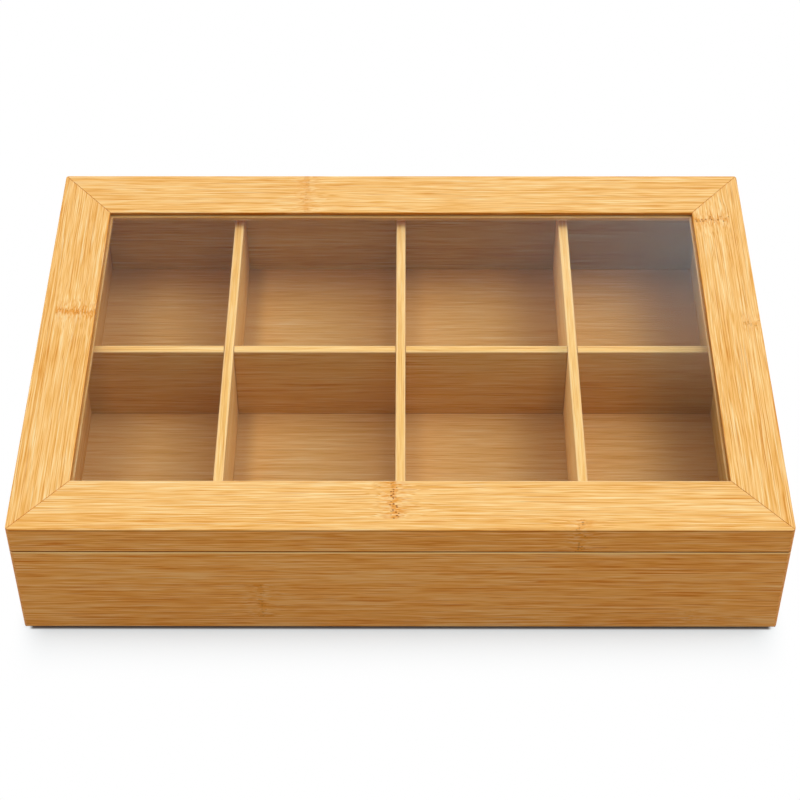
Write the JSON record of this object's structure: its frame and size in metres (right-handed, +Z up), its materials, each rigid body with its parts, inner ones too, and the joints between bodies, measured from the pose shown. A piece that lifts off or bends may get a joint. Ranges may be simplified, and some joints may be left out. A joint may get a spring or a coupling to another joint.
{
  "type": "tea bag organizer box",
  "caption": "Flat bamboo tea bag box: mitred walls, cross-lapped dividers that form compartments, and a hinged framed lid with a clear window.",
  "frame": {"origin": "on the resting surface, under the middle of the box", "axes": "+X right as seen from the front, +Y from the front to the hinges at the back, +Z up"},
  "size_m": [0.34, 0.237, 0.0685],
  "materials": {
    "wall": "satin natural bamboo, horizontal grain",
    "floor": "satin natural bamboo",
    "divider": "satin natural bamboo",
    "rail": "satin natural bamboo, grain along each rail",
    "bead": "satin natural bamboo",
    "spline": "raw bamboo",
    "pane": "clear, polished",
    "brass": "brushed brass",
    "pad": "matt soft pad"
  },
  "bodies": {
    "box_body": {"front_wall": "wall", "back_wall": "wall", "left_wall": "wall", "right_wall": "wall", "floor_panel": "floor", "long_divider": "divider", "cross_divider_left": "divider", "cross_divider_middle": "divider", "cross_divider_right": "divider", "body_splines": "spline", "body_leaf_left": "brass", "body_leaf_right": "brass", "hinge_pin_left": "brass", "hinge_pin_right": "brass", "body_hinge_screws": "brass", "foot_pads": "pad"},
    "lid": {"lid_front_rail": "rail", "lid_back_rail": "rail", "lid_left_rail": "rail", "lid_right_rail": "rail", "lid_splines": "spline", "window_pane": "pane", "pane_bead_front": "bead", "pane_bead_back": "bead", "pane_bead_left": "bead", "pane_bead_right": "bead", "lid_leaf_left": "brass", "lid_leaf_right": "brass", "lid_hinge_screws": "brass"}
  },
  "joints": [
    {"name": "lid_hinge", "type": "hinge", "parent": "box_body", "child": "lid", "pos_m": [0, 0.1135, 0.054], "axis": [-1, 0, 0], "range_deg": [0, 96]}
  ]
}
